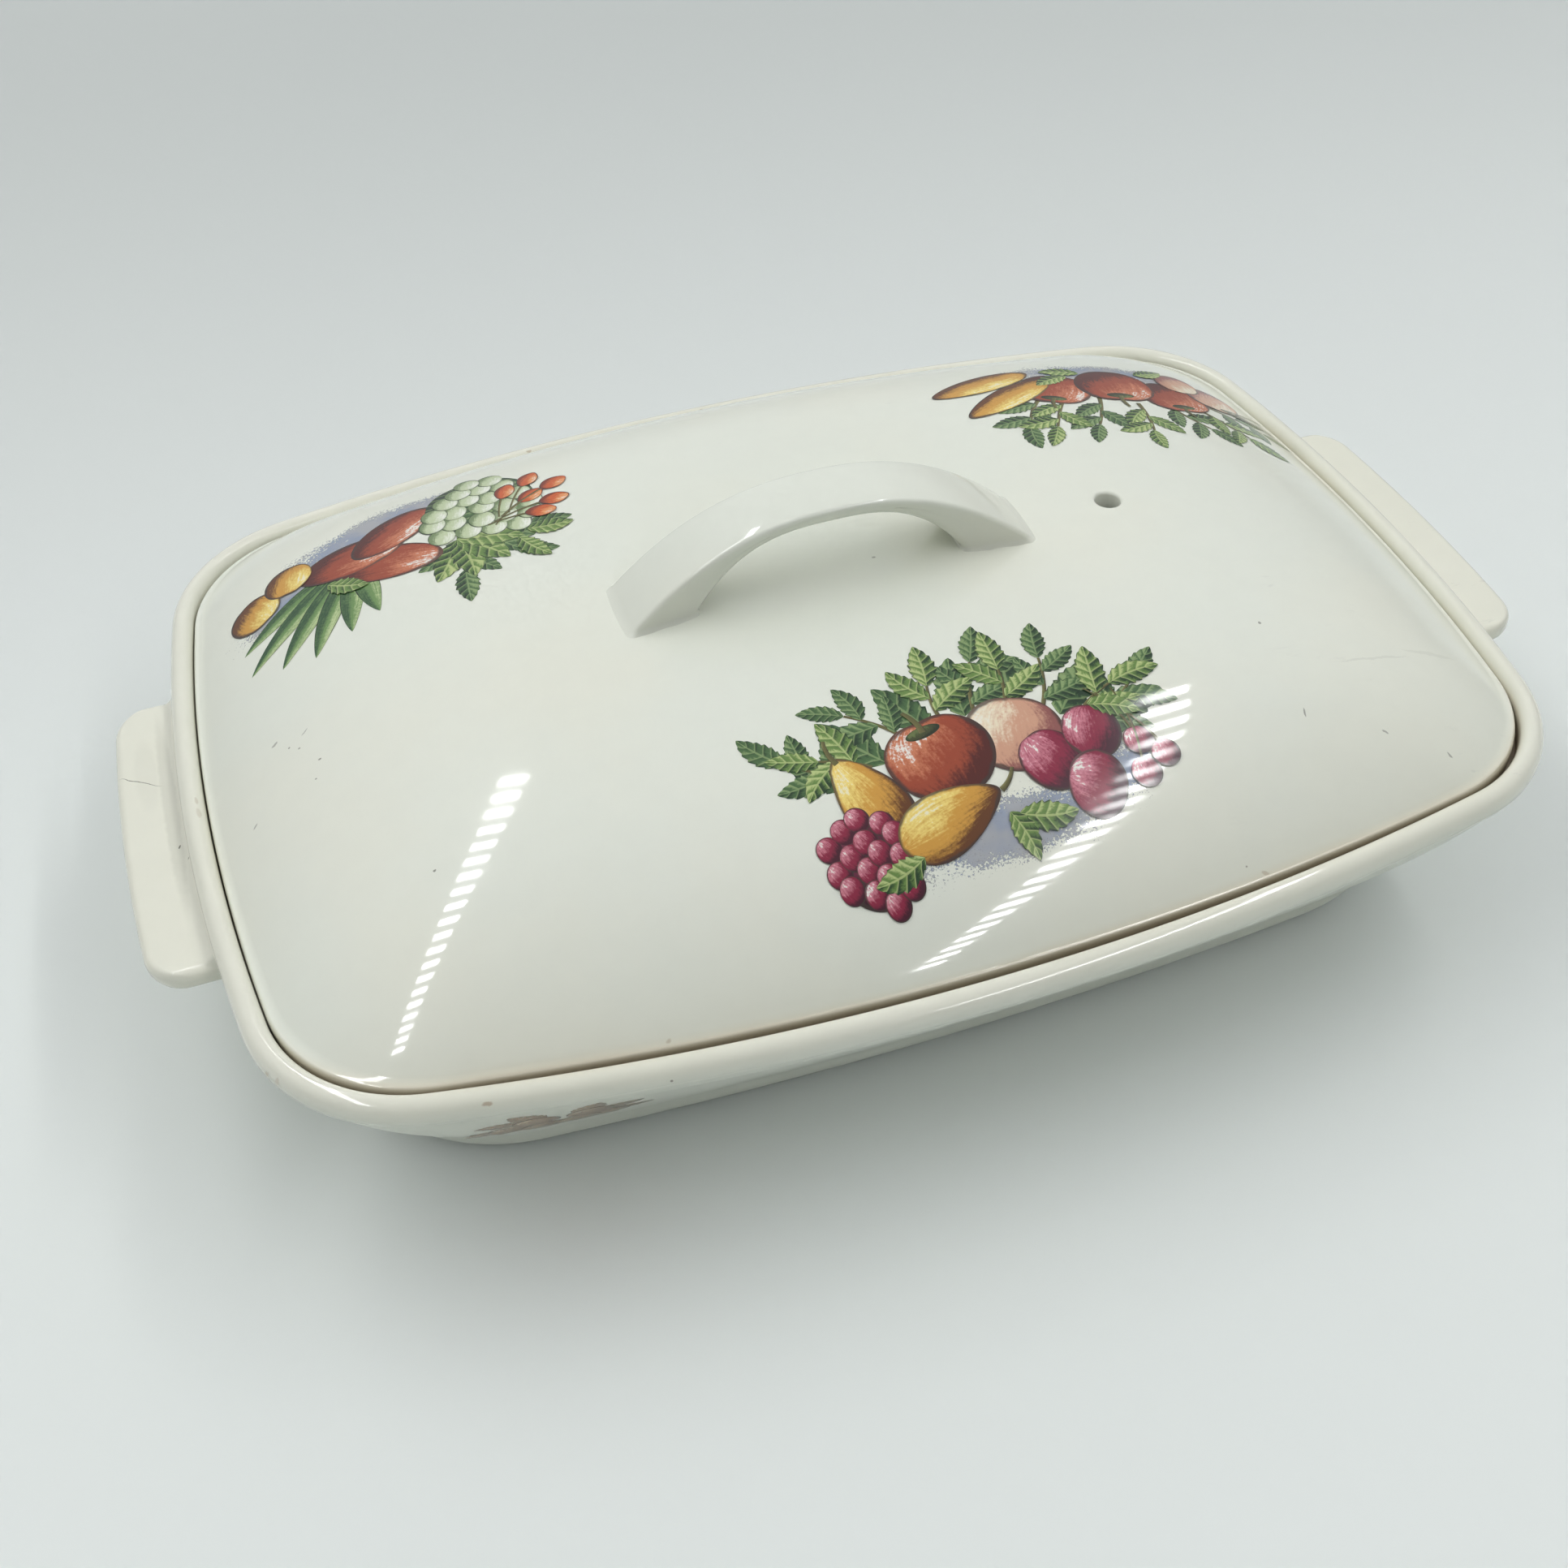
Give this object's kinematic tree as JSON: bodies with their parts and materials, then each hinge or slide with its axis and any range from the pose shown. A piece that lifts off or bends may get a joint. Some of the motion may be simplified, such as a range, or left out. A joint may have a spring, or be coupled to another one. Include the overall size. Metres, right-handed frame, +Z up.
{
  "type": "covered baking dish",
  "caption": "Oblong covered baking dish with bowed sides, rolled rim, end lugs, and a domed lid with a strap handle and a steam vent.",
  "frame": {"origin": "centre of the dish in plan, at the level of the table under the foot", "axes": "+X along the dish's length towards the steam vent's end, -Y towards the side that the picture shows in front, +Z up out of the dish"},
  "size_m": [0.339, 0.23, 0.1044],
  "materials": {
    "dish_glaze": "gloss",
    "lid_glaze": "gloss"
  },
  "bodies": {
    "root": {"dish": "dish_glaze", "lid": "lid_glaze"}
  },
  "joints": []
}
